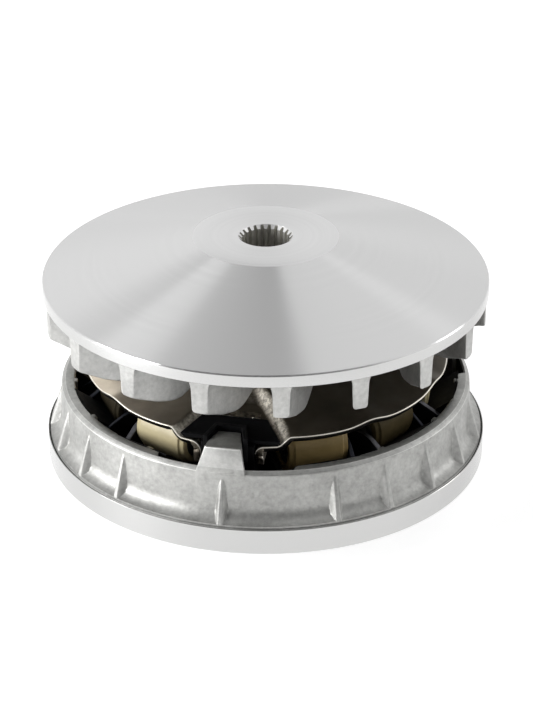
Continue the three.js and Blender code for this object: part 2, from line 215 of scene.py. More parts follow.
def rounded(profile, radius=0.4, steps=3):
    """A closed (radius, height, slot) profile with its corners rounded off."""
    out = []
    count = len(profile)
    for i, (r, z, slot) in enumerate(profile):
        p = np.array([r, z])
        before, after = (np.array(profile[(i + k) % count][:2]) - p for k in (-1, 1))
        lengths = [np.linalg.norm(v) for v in (before, after)]
        cut = min(radius, 0.45 * min(lengths))
        a, b = p + before / lengths[0] * cut, p + after / lengths[1] * cut
        for k in range(steps + 1):
            t = k / steps
            q = (1 - t) ** 2 * a + 2 * t * (1 - t) * p + t * t * b
            out.append((q[0], q[1], profile[i - 1][2] if k < steps / 2 else slot))
    return out


def turned(name, profile, angles, materials, body, slot, warp=None, sharp=34):
    """A ring turned from a closed profile of (radius, height, material of the stretch after it)."""
    points = turned_points(profile, angles, warp)
    faces = grid_faces(len(profile), len(angles), True, True)
    face_slots = [profile[i][2] for i in range(len(profile)) for _ in angles]
    return make(name, points.reshape(-1, 3), faces, materials, body, slot, face_slots, sharp)


def prism_sections(outline, z0, z1, bearing, edge=0.45, draft=0.0):
    """Sections of an upright prism over an outline of (along, across), with its ends rounded off."""
    along, across = direction(bearing)
    outline = np.array(outline, float)
    middle = outline.mean(0)
    lower = [(z0, edge), (z0 + edge * 0.3, edge * 0.3), (z0 + edge, 0)]
    upper = [(z1 - edge, 0), (z1 - edge * 0.3, edge * 0.3), (z1, edge)]
    sections = []
    for z, inset in lower + upper:
        span = np.abs(outline - middle).max(0)
        scale = 1 - (inset + draft * (z - z0)) / span
        q = middle + (outline - middle) * scale
        sections.append([u * along + t * across + np.array([0, 0, z]) for u, t in q])
    return sections


def bevelled(obj, width, segments=2, angle=30):
    modifier = obj.modifiers.new("edges", "BEVEL")
    modifier.width = width * MM
    modifier.segments = segments
    modifier.limit_method = "ANGLE"
    modifier.angle_limit = math.radians(angle)
    return obj


# ---- Materials ----------------------------------------------------------------------------------------
class Shader:
    """A Principled material with object coordinates and small helpers for its nodes."""

    def __init__(self, name, roughness, metallic=0.0, **inputs):
        self.material = bpy.data.materials.new(name)
        self.material.use_nodes = True
        self.tree = self.material.node_tree
        self.bsdf = self.tree.nodes["Principled BSDF"]
        self.bsdf.inputs["Metallic"].default_value = metallic
        self.bsdf.inputs["Roughness"].default_value = roughness
        for key, value in inputs.items():
            self.bsdf.inputs[key.replace("_", " ")].default_value = value
        places = self.tree.nodes.new("ShaderNodeTexCoord")
        self.coords, self.facing = places.outputs["Object"], places.outputs["Normal"]

    def link(self, a, b):
        self.tree.links.new(a, b)

    def math(self, operation, a, b=0.0):
        node = self.tree.nodes.new("ShaderNodeMath")
        node.operation = operation
        for socket, value in zip(node.inputs, (a, b)):
            if isinstance(value, (int, float)):
                socket.default_value = value
            else:
                self.link(value, socket)
        return node.outputs[0]

    def split(self, vector):
        node = self.tree.nodes.new("ShaderNodeSeparateXYZ")
        self.link(vector, node.inputs[0])
        return tuple(node.outputs)

    def radius(self):
        """Distance from the shaft axis, as a socket, in metres."""
        x, y, _ = self.split(self.coords)
        return self.math("SQRT", self.math("ADD", self.math("MULTIPLY", x, x), self.math("MULTIPLY", y, y)))

    def noise(self, per_metre, detail=4.0, rough=0.55, vector=None, dimensions="3D"):
        node = self.tree.nodes.new("ShaderNodeTexNoise")
        node.noise_dimensions = dimensions
        node.inputs["Scale"].default_value = per_metre
        node.inputs["Detail"].default_value = detail
        node.inputs["Roughness"].default_value = rough
        if dimensions == "1D":
            self.link(vector, node.inputs["W"])
        else:
            self.link(vector or self.coords, node.inputs["Vector"])
        return node.outputs[0]

    def ramp(self, value, stops):
        node = self.tree.nodes.new("ShaderNodeValToRGB")
        elements = node.color_ramp.elements
        while len(elements) < len(stops):
            elements.new(0.5)
        for element, (position, colour) in zip(elements, stops):
            element.position = position
            element.color = (*colour, 1) if len(colour) == 3 else colour
        self.link(value, node.inputs[0])
        return node.outputs[0]

    def two_tone(self, value, spread, dark, light):
        """A colour that goes from dark to light as a value goes from 0.5 - spread to 0.5 + spread."""
        return self.ramp(value, [(0.5 - spread, dark), (0.5 + spread, light)])

    def blend(self, share, none, whole):
        """The colour none where share is 0 and the colour whole where it is 1."""
        node = self.tree.nodes.new("ShaderNodeMix")
        node.data_type = "RGBA"
        self.link(share, node.inputs["Factor"])
        self.link(none, node.inputs[6])
        if isinstance(whole, tuple):
            node.inputs[7].default_value = (*whole, 1)
        else:
            self.link(whole, node.inputs[7])
        return node.outputs[2]

    def span(self, value, low, high):
        """Maps the middle half of a noise to a range."""
        node = self.tree.nodes.new("ShaderNodeMapRange")
        self.link(value, node.inputs[0])
        node.inputs[1].default_value = 0.25
        node.inputs[2].default_value = 0.75
        node.inputs[3].default_value = low
        node.inputs[4].default_value = high
        return node.outputs[0]

    def bump(self, height, distance, strength=1.0, normal=None):
        node = self.tree.nodes.new("ShaderNodeBump")
        node.inputs["Distance"].default_value = distance
        node.inputs["Strength"].default_value = strength
        self.link(height, node.inputs["Height"])
        if normal is not None:
            self.link(normal, node.inputs["Normal"])
        return node.outputs[0]

    def colour(self, socket):
        self.link(socket, self.bsdf.inputs["Base Color"])

    def roughness(self, socket):
        self.link(socket, self.bsdf.inputs["Roughness"])

    def normal(self, socket):
        self.link(socket, self.bsdf.inputs["Normal"])


def cast_metal(name, dark, light, rough=(0.42, 0.56)):
    """Die-cast aluminium: mottled grey with a fine grain over shallow waves."""
    s = Shader(name, 0.48, 0.9)
    clouds = s.math("MULTIPLY", s.noise(70, 6, 0.7), 0.6)
    specks = s.math("MULTIPLY", s.noise(650, 3, 0.6), 0.4)
    s.colour(s.two_tone(s.math("ADD", clouds, specks), 0.14, dark, light))
    s.roughness(s.span(s.noise(260, 4), *rough))
    waves = s.bump(s.noise(220, 4), 0.0004, 0.22)
    s.normal(s.bump(s.noise(1500, 3, 0.6), 0.00012, 0.5, waves))
    return s.material


def turned_metal(name, dark, light, rough, anisotropy, grooved=True):
    """Metal turned about the shaft axis, whose highlights spread across its fine circles."""
    s = Shader(name, 0.28, 1.0, Anisotropic=anisotropy, Anisotropic_Rotation=0.25)
    r = s.radius()
    bands = s.noise(420, 3, 0.6, vector=r, dimensions="1D")
    s.colour(s.two_tone(bands, 0.2, dark, light))
    s.roughness(s.span(bands, *rough))
    if grooved:
        lines = s.noise(5200, 2, 0.7, vector=r, dimensions="1D")
        s.normal(s.bump(lines, 0.00001, 0.35))
    tangent = s.tree.nodes.new("ShaderNodeTangent")
    tangent.direction_type = "RADIAL"
    tangent.axis = "Z"
    s.link(tangent.outputs[0], s.bsdf.inputs["Tangent"])
    return s.material


def pressed_steel(name, dark, light, rough, patches=55):
    """Dull metal in patches of two tones, so many to the metre."""
    s = Shader(name, 0.32, 0.95)
    s.colour(s.two_tone(s.noise(patches, 5, 0.6), 0.22, dark, light))
    s.roughness(s.span(s.noise(180, 4), *rough))
    waves = s.bump(s.noise(90, 3), 0.0006, 0.12)
    s.normal(s.bump(s.noise(900, 3), 0.00008, 0.4, waves))
    return s.material


def sheet_with_painted_light(name, shaded_tone, lit_tone, painted_highlight, rough):
    """Pressed steel with painted light: a light tone towards -X and a dark tone towards +X, and a painted
    highlight on its steep bends.
    """
    s = Shader(name, 0.3, 0.95)
    x, _, _ = s.split(s.coords)
    side = s.math("ADD", s.math("MULTIPLY", x, 10), 0.45)
    drift = s.math("MULTIPLY", s.noise(30, 4), 0.3)
    # Painted shade by side: light towards -X, dark from about the axis towards +X.
    side_shade = s.ramp(s.math("ADD", side, drift), [(0.13, (0, 0, 0)), (0.40, (1, 1, 1))])
    patches = s.noise(55, 5, 0.6)
    flats = s.blend(side_shade, s.two_tone(patches, 0.22, *lit_tone), s.two_tone(patches, 0.22, *shaded_tone))
    _, _, upright = s.split(s.facing)
    # Painted highlight: faces far from level turn near white, with flecks.
    steep_highlight = s.ramp(s.math("ABSOLUTE", upright), [(0.80, (1, 1, 1)), (0.93, (0, 0, 0))])
    flecks = s.two_tone(s.noise(700, 5, 0.7), 0.12, (0.25, 0.25, 0.25), (1, 1, 1))
    s.colour(s.blend(s.math("MULTIPLY", steep_highlight, flecks), flats, painted_highlight))
    s.roughness(s.span(s.noise(180, 4), *rough))
    s.normal(s.bump(s.noise(90, 3), 0.0006, 0.06))
    return s.material


def edge_glint(name, dark, light, glow):
    """Painted highlight on the rounded upper edge of the sheet: its upward faces glow, so the bright line
    shows where little light reaches it.
    """
    s = Shader(name, 0.35, 0.6)
    shade = s.two_tone(s.noise(300, 4), 0.2, dark, light)
    s.colour(shade)
    _, _, upright = s.split(s.facing)
    upper = s.math("GREATER_THAN", upright, 0.05)
    s.link(shade, s.bsdf.inputs["Emission Color"])
    s.link(s.math("MULTIPLY", upper, glow), s.bsdf.inputs["Emission Strength"])
    return s.material


def plastic(name, dark, light, rough, grain=1400, depth=0.0001, **inputs):
    """Moulded plastic or rubber with a fine grain."""
    s = Shader(name, 0.5, 0.0, **inputs)
    s.colour(s.two_tone(s.noise(160, 4), 0.2, dark, light))
    s.roughness(s.span(s.noise(400, 3), *rough))
    s.normal(s.bump(s.noise(grain, 3), depth, 0.5))
    return s.material


CAST = cast_metal("cast_aluminium", (0.31, 0.31, 0.30), (0.48, 0.48, 0.465))
# Painted highlight: a lighter copy of the cast metal for the thin bright lines along the wall top's
# shoulder.
EDGE_HIGHLIGHT = cast_metal("painted_edge_highlight", (0.52, 0.52, 0.50), (0.66, 0.66, 0.64))
CAST_BLADE = cast_metal("blade_aluminium", (0.40, 0.40, 0.39), (0.58, 0.58, 0.565), (0.40, 0.52))
# Painted highlight: a much lighter copy of the cast metal for the rounded top edge of the towers' front
# faces.
CAST_TOWER_HIGHLIGHT = cast_metal("tower_front_painted_highlight", (0.64, 0.64, 0.62), (0.84, 0.84, 0.82))
# Painted shade: a near-black copy of the cast metal for the inside of the case, the ribs' sides and the
# groove at the band's top.
CAST_SHADE_INSIDE = cast_metal("case_inside", (0.012, 0.012, 0.012), (0.03, 0.03, 0.03), (0.6, 0.75))
RIB_SHADE = cast_metal("rib_shade", (0.03, 0.032, 0.04), (0.06, 0.064, 0.08), (0.5, 0.65))
# A less dark copy for the crests of the ribs that catch light inside the case, set against the painted shade
# round them.
RIB_TOP = cast_metal("rib_top", (0.10, 0.10, 0.11), (0.20, 0.20, 0.215), (0.45, 0.6))
CONE_FACE = turned_metal("turned_cone", (0.70, 0.70, 0.70), (0.715, 0.715, 0.715), (0.255, 0.27), 1.0, False)
HUB_RING = turned_metal("hub_ring", (0.72, 0.72, 0.72), (0.76, 0.76, 0.76), (0.3, 0.4), 0.4)
BAND = turned_metal("machined_band", (0.56, 0.56, 0.555), (0.60, 0.60, 0.595), (0.22, 0.3), 0.3)
BORE = pressed_steel("broached_bore", (0.66, 0.65, 0.61), (0.78, 0.77, 0.73), (0.4, 0.55))
# The plate's bronze, with painted light and shade by side and painted highlights on its steep faces.
PLATE = sheet_with_painted_light(
    "bronzed_steel",
    shaded_tone=((0.07, 0.06, 0.044), (0.14, 0.12, 0.094)),
    lit_tone=((0.47, 0.41, 0.33), (0.70, 0.62, 0.52)),
    painted_highlight=(1.0, 0.94, 0.84),
    rough=(0.34, 0.44),
)
# Painted shade: the sheet's cut edge all round is near black.
PLATE_EDGE = pressed_steel("cut_edge_painted_shade", (0.012, 0.011, 0.01), (0.03, 0.028, 0.025), (0.4, 0.5))
# Painted highlight: the plate's rounded upper edge glows as a bright line.
PLATE_LINE = edge_glint("edge_glint", (0.50, 0.47, 0.41), (0.62, 0.60, 0.54), 0.42)
LIP_EDGE = pressed_steel("torn_edge", (0.05, 0.042, 0.032), (0.40, 0.35, 0.28), (0.3, 0.42), 800)
HUB_STEEL = pressed_steel("ground_steel", (0.30, 0.29, 0.27), (0.40, 0.39, 0.37), (0.22, 0.34))
SINTER = pressed_steel("sintered_weight", (0.16, 0.16, 0.16), (0.26, 0.25, 0.24), (0.4, 0.6))
BRONZE = pressed_steel("bush_bronze", (0.42, 0.32, 0.16), (0.55, 0.43, 0.24), (0.3, 0.45))
RUBBER = plastic("seal_rubber", (0.012, 0.012, 0.013), (0.03, 0.03, 0.03), (0.6, 0.75))
# The slides' own black plastic, made darker still and with little shine as painted shade.
BLACK = plastic(
    "black_plastic", (0.0025, 0.0025, 0.003), (0.005, 0.005, 0.0055), (0.5, 0.65), Specular_IOR_Level=0.07
)


def nylon(name, dark, light, rough=(0.36, 0.5), shine=0.5):
    return plastic(name, dark, light, rough, 700, 0.00006, Specular_IOR_Level=shine)


# Lit and shaded copies of the tan nylon: the plain one lit, and three darker ones as painted shade.
TAN = nylon("tan_nylon", (0.46, 0.39, 0.23), (0.56, 0.49, 0.30))
TAN_HALF_SHADE = nylon("nylon_painted_half_shade", (0.36, 0.26, 0.10), (0.46, 0.33, 0.14))
TAN_SHADE = nylon("nylon_painted_shade", (0.065, 0.05, 0.022), (0.105, 0.08, 0.036), (0.5, 0.6), 0.1)
TAN_DEEP_SHADE = nylon("nylon_painted_deep_shade", (0.018, 0.015, 0.009), (0.03, 0.025, 0.015), (0.5, 0.65), 0.05)


# ---- Sliding sheave -----------------------------------------------------------------------------------
def bearing_of(angle):
    """Bearing in degrees of an angle from +X."""
    return np.degrees(angle) + 90


def turn_from(bearing, reference):
    return (bearing - reference + 180) % 360 - 180


FIN_TIP = RIM_Z + 25.7
FIN_ARC_R = 77  # where widths across a fin are measured
FIN_REACH = 3.6
FIN_SPREAD = (0, 0.2, 0.3, 0.4, 0.5, 0.6, 0.7, 0.85, 1.0, 1.2, 1.4, 1.6, 1.8, 2.0, 2.2, 2.4, 2.65)
CASE_IN_R = 34.2
STOP_TOP = RIM_Z + 26
RIB_CREST, LOW_RIB_CREST = RIM_Z + 28.6, RIM_Z + 19


def fin_columns():
    """Angles of the shell's columns: even round the wall, and close together over each fin."""
    taken = FIN_SPREAD[-1] + 0.25
    even = [b for b in np.arange(0, 360, 0.75) if min(abs(turn_from(b, f)) for f in FINS) > taken]
    near = [f + side * d for f in FINS for side in (-1, 1) for d in FIN_SPREAD if d or side > 0]
    bearings = sorted(b % 360 for b in even + near)
    return np.radians(np.array(bearings) - 90)


def shell_warp(r, z, angles):
    """Adds the fins to the outside of the wall and the recesses to its inside."""
    bearing = bearing_of(angles)
    outside = (r > 72.6) & (z > BAND_TOP + 0.1) & (z < FIN_TIP)
    share = np.clip((FIN_TIP - z) / (FIN_TIP - BAND_TOP), 0, 1)
    ridge = 74.5 + 4.9 * share**0.94
    half = 0.3 + 0.35 * share
    foot = 0.5 + 2.6 * share**0.5
    for fin in FINS:
        across = np.abs(np.radians(turn_from(bearing, fin)) * FIN_ARC_R)
        fall = np.maximum(across - half, 0) / (foot - half + 0.01)
        flank = ridge - (ridge - 74.2) * fall**1.45
        r = np.where(outside & (across < FIN_REACH), soft_max(r, flank, 0.4), r)
    inside = (r < 70.5) & (r > 66) & (z > RIM_Z + 4)
    for tower in TOWERS:
        off = np.abs(turn_from(bearing, tower))
        near = smooth((20.2 - off) / 1.0)
        r = np.where(inside & (z > RIM_Z + 18), r + 2.7 * near, r)
    for roller in ROLLERS:
        off = np.abs(np.radians(turn_from(bearing, roller)) * 69.5)
        r = np.where(inside, r + 0.95 * smooth((11.4 - off) / 0.8) * (r < 70.2), r)
    return r, z


SHEAVE_FINISHES_AND_PAINTED_LIGHT = [CAST, CONE_FACE, CAST_SHADE_INSIDE, BAND, EDGE_HIGHLIGHT]


def sheave_profile():
    """The sliding sheave's section, from the foot ring out over cone, band and wall, and back inside."""
    z = RIM_Z
    cast, turned_face, inside, machined, painted_highlight = range(len(SHEAVE_FINISHES_AND_PAINTED_LIGHT))
    fillet = [
        (81 + 6 * math.cos(a), z + 16 + 6 * math.sin(a), cast) for a in np.radians(np.linspace(250, 182, 11))
    ]
    wall = [(WALL_R - 0.6 * t, z + 16.4 + 10.9 * t, cast) for t in np.linspace(0, 1, 24)]
    # The shoulder's two thin bright stretches are painted highlights.
    shoulder = [
        (74.35, z + 27.62, painted_highlight),
        (74.27, z + 27.78, cast),
        (73.15, z + 28.8, painted_highlight),
        (73.02, z + 28.9, cast),
        (72.8, WALL_TOP, cast),
    ]
    inner_top = [(70.2, WALL_TOP, cast), (69.8, WALL_TOP - 0.15, cast), (69.5, WALL_TOP - 0.5, inside)]
    # The wall's inside, the case floor and the boss are painted shade.
    inner_wall = [(WALL_IN_R, z + h, inside) for h in (27.6, 24, 18.2, 17.8, 3.6)]
    case_floor = [(r, z + h, inside) for r, h in ((68.6, 3.0), (35, -6.5), (21.2, -6.5), (20.5, -5.8))]
    boss = [(20.5, z + 29.5, inside), (20, z + 30, inside), (16.1, z + 30, inside)]
    bore = [(15.6, z + 29.5, turned_face), (15.6, 0.4, turned_face), (16, 0, turned_face)]
    foot = [(HUB_FLAT_R - 0.5, 0, turned_face), (HUB_FLAT_R + 0.1, 0.08, turned_face)]
    run = RIM_R - 0.45 - HUB_FLAT_R
    cone = [(HUB_FLAT_R + run * t, 0.02 + (z - 0.12) * t, turned_face) for t in np.linspace(0.02, 1, 12)]
    band = [(RIM_R, z + h, machined) for h in (0.4, 3.3, 6.4)] + [
        (RIM_R, BAND_TOP - 0.1, machined),
        (RIM_R - 0.08, BAND_TOP, cast),
        # The groove at the band's top is painted shade.
        (RIM_R - 0.3, BAND_TOP, inside),
        (RIM_R - 0.42, BAND_TOP - 0.25, inside),
        (RIM_R - 0.78, BAND_TOP - 0.3, cast),
        (RIM_R - 1.0, BAND_TOP - 0.05, cast),
    ]
    inner = inner_top + inner_wall + case_floor + boss + bore
    return foot + cone + band + fillet + wall + shoulder + inner


def under_floor(u):
    """A height inside the metal of the case's floor, which the ramps and ribs stand in."""
    return RIM_Z - 7 + (u - 34) * 0.25


def ramp_floor(r):
    return ROLLER_Z + (r - ROLLER_REST_R) * math.tan(RAMP) - (ROLLER_R + CLEARANCE) / math.cos(RAMP)


# Painted shade inside the case: dark rib sides, lit crests and shaded crests.
CASE_PAINTED_SHADES = [CAST_SHADE_INSIDE, RIB_TOP, RIB_SHADE]
DARK, BRIGHT_CREST, SHADED_CREST = range(len(CASE_PAINTED_SHADES))


def rib(parts, bearing, t0, thick, crest_z, finish):
    """An upright rib beside a roller, from t0 outwards, whose crest falls towards the wall."""
    along, across = direction(bearing)
    t1 = t0 + math.copysign(thick, t0)
    soft = math.copysign(0.3, t0)
    sections = []
    for u in np.linspace(CASE_IN_R, 69.9, 16):
        crest = crest_z - 0.7 * max(0, u - 57) - 0.2 * smooth((u - 55) / 4)
        foot = [(t0, under_floor(u)), (t1, under_floor(u))]
        ring = foot + [(t1, crest - 0.3), (t1 - soft, crest), (t0 + soft, crest), (t0, crest - 0.3)]
        sections.append([u * along + t * across + np.array([0, 0, z]) for t, z in ring])
    around = [finish if j in (2, 3, 4) else DARK for j in range(len(sections[0]))]
    parts.loft(sections, around * (len(sections) - 1) + [DARK, DARK])


def case_inside():
    """Ramps under the rollers, their inner stops and the ribs that stand either side of them."""
    parts = Parts()
    up = np.array([0, 0, 1.0])
    inner = ROLLER_REST_R - ROLLER_R - 0.3
    half = ROLLER_HALF + 0.6
    for number, bearing in enumerate(ROLLERS, 1):
        along, across = direction(bearing)
        sections = []
        for u in np.linspace(inner, 69.6, 12):
            low, top = under_floor(u), ramp_floor(u)
            section = [(-half, low), (half, low), (half, top), (-half, top)]
            sections.append([u * along + t * across + z * up for t, z in section])
        parts.loft(sections)
        stop = [(-half, RIM_Z - 7), (half, RIM_Z - 7), (half, STOP_TOP), (-half, STOP_TOP)]
        parts.loft([[u * along + t * across + z * up for t, z in stop] for u in (CASE_IN_R, inner)])
        left_crest = LOW_RIB_CREST if number % 3 == 1 else RIB_CREST
        right_crest = LOW_RIB_CREST if number % 3 == 0 else RIB_CREST
        # The left rib's crest beside the deepest-shaded roller is painted shade too.
        left_finish = SHADED_CREST if number == DEEP_SHADE_ROLLER else BRIGHT_CREST
        rib(parts, bearing, -(ROLLER_HALF + 0.3), 2.1, left_crest, left_finish)
        rib(parts, bearing, ROLLER_HALF + 0.3, 1.3, right_crest, SHADED_CREST)
    return parts


# Small lugs inside the top of the wall: distance past a tower, how far in they reach and half their width.
LUGS = ((46.7, 68.6, 1.2), (70.5, 68.6, 1.2), (96.2, 68.6, 1.2))


def wall_lugs():
    parts = Parts()
    for tower in TOWERS:
        for offset, reach, half in LUGS:
            outline = [(reach, -half), (71.5, -half - 0.4), (71.5, half + 0.4), (reach, half)]
            parts.loft(prism_sections(outline, RIM_Z + 14, WALL_TOP - 0.08, tower + offset, 0.3))
    return parts


def rail_half(u):
    return 4 + (u - RAIL_BACK) * 0.245


ROOT_LEAN = 0.93  # how far the root's flanks narrow towards the axis
TOWER_FINISHES_AND_PAINTED_LIGHT = [CAST, CAST_TOWER_HIGHLIGHT, CAST_BLADE]


def tower_parts():
    """Guide towers: a rail that narrows towards the axis, and a flared root where it stands on the wall."""
    plain, bright, soft = range(len(TOWER_FINISHES_AND_PAINTED_LIGHT))
    # Painted light up the front faces: the lighter blade metal from the wall top up, and the painted
    # highlight copy on the top edge.
    row_fronts = [plain, plain, plain, soft, soft, bright, bright]
    parts = Parts()
    for bearing in TOWERS:
        along, across = direction(bearing)
        # height, reach to the left and right of the root, its outer face and how far the rail is drawn in
        levels = [
            (RIM_Z - 1, 9.6, 7.9, 73.4, 0),
            (WALL_TOP - 6, 9.6, 7.9, 74.2, 0),
            (WALL_TOP - 0.2, 9.2, 7.8, 74.2, 0),
            (WALL_TOP + 0.8, 8.75, 7.65, 74.15, 0),
            (WALL_TOP + 3, 8.0, 7.3, 74.1, 0),
            (TOWER_TOP - 0.45, 6.35, 6.4, 73.9, 0),
            (TOWER_TOP - 0.12, 6.2, 6.25, 73.75, 0.1),
            (TOWER_TOP, 5.9, 5.95, 73.4, 0.4),
        ]
        sections = []
        for z, left, right, outer, inset in levels:
            near, far = rail_half(RAIL_BACK) - inset, rail_half(70) - inset
            plan = [
                (RAIL_BACK + inset, -near),
                (70, -far),
                (70.2, -max(left - ROOT_LEAN, far + 0.02)),
                (outer - 0.55, -left),
                (outer - 0.15, -left + 0.15),
                (outer, -left + 0.55),
                (outer, right - 0.55),
                (outer - 0.15, right - 0.15),
                (outer - 0.55, right),
                (70.2, max(right - ROOT_LEAN, far + 0.02)),
                (70, far),
                (RAIL_BACK + inset, near),
            ]
            sections.append([u * along + t * across + np.array([0, 0, z]) for u, t in plan])
        slots = [front if 4 <= j <= 6 else plain for front in row_fronts for j in range(len(sections[0]))]
        parts.loft(sections, slots + [plain, plain])
    return parts


sheave = turned(
    "sheave_shell",
    sheave_profile(),
    fin_columns(),
    SHEAVE_FINISHES_AND_PAINTED_LIGHT,
    "sliding_sheave",
    "cast_aluminium",
    warp=shell_warp,
    sharp=30,
)
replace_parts(sheave, "sliding_sheave")
case_inside().make("sheave_ramps", CASE_PAINTED_SHADES, "sliding_sheave", "cast_aluminium")
bevelled(wall_lugs().make("sheave_lugs", [CAST], "sliding_sheave", "cast_aluminium"), 0.3, 2, 35)
tower_parts().make("sheave_towers", TOWER_FINISHES_AND_PAINTED_LIGHT, "sliding_sheave", "cast_aluminium", sharp=25)


# ---- Bush, seals, collar and hub ----------------------------------------------------------------------
def ring(name, outline, columns, material, body, slot, node, radius=0.3):
    """A plain ring in place of a node, from an outline of (radius, height)."""
    profile = rounded([(r, z, 0) for r, z in outline], radius)
    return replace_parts(turned(name, profile, circle(columns), [material], body, slot), node)


RUNNING_GAP = 0.06
TUBE_BORE_R = 9.8
SEAT_Z = PLATE_FLAT_Z + 0.1
SPIGOT_R, FLANGE_R = 14.9, 20


def tube_outline(inner, outer, low, high):
    return [(inner, low), (outer, low), (outer, high), (inner, high)]


def seal_outline(node):
    """A seal's section: straight outside, and drawn in to a short lip on the collar."""
    low, high = node_box(node)
    z0, z1 = low[2], high[2]
    middle = (z0 + z1) / 2
    lip = COLLAR_R + RUNNING_GAP
    upper = [(lip + 1.2, z1), (lip + 0.9, z1 - 1.2), (lip, middle + 0.3)]
    lower = [(lip, middle - 0.3), (lip + 0.9, z0 + 1.2), (lip + 1.2, z0)]
    return [(BUSH_R, z0), (BUSH_R, z1)] + upper + lower


bush_low, bush_high = node_box("guide_bush")
bush_outline = tube_outline(COLLAR_R + RUNNING_GAP, BUSH_R, bush_low[2], bush_high[2])
ring("bush", bush_outline, 96, BRONZE, "sliding_sheave", "bronze", "guide_bush")
for which in ("lower", "upper"):
    node = f"grease_seal_{which}"
    ring(f"seal_{which}", seal_outline(node), 96, RUBBER, "sliding_sheave", "seal_rubber", node, 0.25)
collar_outline = tube_outline(TUBE_BORE_R, COLLAR_R, 0, COLLAR_TOP)
ring("collar_tube", collar_outline, 128, HUB_STEEL, "ramp_plate", "hub_steel", "collar", 0.8)
spigot = [(TUBE_BORE_R, HUB_BOTTOM), (SPIGOT_R, HUB_BOTTOM), (SPIGOT_R, SEAT_Z)]
flange = [(FLANGE_R, SEAT_Z), (FLANGE_R, CAM_HUB_TOP), (TUBE_BORE_R, CAM_HUB_TOP)]
ring("plate_hub", spigot + flange, 128, HUB_STEEL, "ramp_plate", "hub_steel", "ramp_plate_hub", 0.5)


# ---- Ramp plate ---------------------------------------------------------------------------------------
LINE_R = 65.62  # the rounded edge starts here
CORNER_R = 3.0
EDGE_COLUMNS = 16
EDGE_ROUNDING = 0.15
# By side of a tower: a lip's bend radius, bend angle and straight end.
LIPS = {-1: (3.8, 90, 4.0), 1: (2.85, 124, 1.8)}
# By side of a tower: how far a fold turns off at its end, from where and over what length.
FLARES = {-1: (1.7, 61, 2.6), 1: (-1.2, 58, 6)}


def track_top(u):
    return PLATE_EDGE_Z + (PLATE_R - u) * math.tan(TRACK)


def fold_foot(side, u):
    """Distance across from the middle of a slide to the foot of a fold."""
    at, slope = FOLDS[side]
    return at + slope * (u - FOLD_AT_R) - FOLD_W / 2


def plate_height(x, y):
    """Height of the plate's upper side over a point."""
    bearing = np.degrees(np.arctan2(x, -y))
    r = np.hypot(x, y)
    track = np.full(x.shape, 1e3)
    for b in ROLLERS:
        track = soft_min(track, track_top(r * np.cos(np.radians(bearing - b))), 0.9)
    for b in ROLLERS:
        if min(abs(turn_from(b + 15.9, t)) for t in TOWERS) > 25:
            junction = turn_from(bearing, b + 15.9)
            track = track + 1.1 * np.exp(-((junction / 5.0) ** 2)) * smooth((r - 44) / 20)
    z = soft_min(track, PLATE_FLAT_Z + 0 * r, 1.6)
    for b in TOWERS:
        off = np.radians(bearing - b)
        u, t = r * np.cos(off), r * np.sin(off)
        floor_z = track_top(u) - ARM_DROP
        floor_z = floor_z + np.clip((44 - u) / 10, 0, 1) * 3 + np.clip((34 - u) / 8, 0, 1) * 4
        arm = floor_z
        for side in FOLDS:
            reach, start, length = FLARES[side]
            flare = reach * smooth((u - start) / length)
            up_fold = (side * t - fold_foot(side, u) - flare) * (ARM_DROP / FOLD_W)
            arm = soft_max(arm, floor_z + up_fold, 1.2)
        z = np.where(u > 20, soft_min(z, arm, 1.1), z)
    return z


def plate_rows():
    """Distances from the axis of the sheet's rows of points."""
    inner = [PLATE_HOLE_R, 17, 20, 23, 26, 29, 32, 35, 38, 40, 42, 44, 46, 48, 49.4, 49.9, 50.2, 50.6, 51.2]
    return np.array(inner + [52, 53, 54, 55, 56, 57, 58, 59, 60, 61, 62, 63, 64, 65, LINE_R, PLATE_R])


def cutout_half(r):
    """Half the width of the opening round a slide, by distance from the axis."""
    turn = 1 - (np.clip(r, CUTOUT_BACK, CUTOUT_BACK + CORNER_R) - CUTOUT_BACK) / CORNER_R
    return np.where(r < CUTOUT_BACK, 0, CUTOUT_HALF - CORNER_R * (1 - np.sqrt(1 - turn**2)))


def lip_curve(side, grow):
    """Points (in from the bend's start, down) of a lip, from the sheet to its end."""
    bend, angle, straight = LIPS[side]
    bend = 0.02 + (bend - 0.02) * grow
    out = []
    for k in range(1, EDGE_COLUMNS + 1):
        share = k / EDGE_COLUMNS
        turn = math.radians(angle) * min(1, share / 0.75)
        down = bend * (1 - math.cos(turn)) + straight * grow * max(0, share - 0.75) / 0.25
        out.append((bend * math.sin(turn), down))
    return bend, out


def lip_row(side, tower, r, half, grow, turn, height):
    """One row's points of a lip, from the sheet to its end; behind the opening they lie in the sheet."""
    along, across = direction(tower)
    bend, curve = lip_curve(side, grow)
    points = []
    for k, (inwards, down) in enumerate(curve, 1):
        if r < CUTOUT_BACK:
            a = math.radians(turn * (1 - k / EDGE_COLUMNS))
            x, y, _ = r * (math.cos(a) * along + side * math.sin(a) * across)
            points.append(np.array([x, y, float(plate_height(np.array([x]), np.array([y]))[0])]))
        else:
            lateral = half + bend - inwards
            u = math.sqrt(r * r - lateral * lateral)
            points.append(u * along + side * lateral * across + np.array([0, 0, height - down]))
    return points


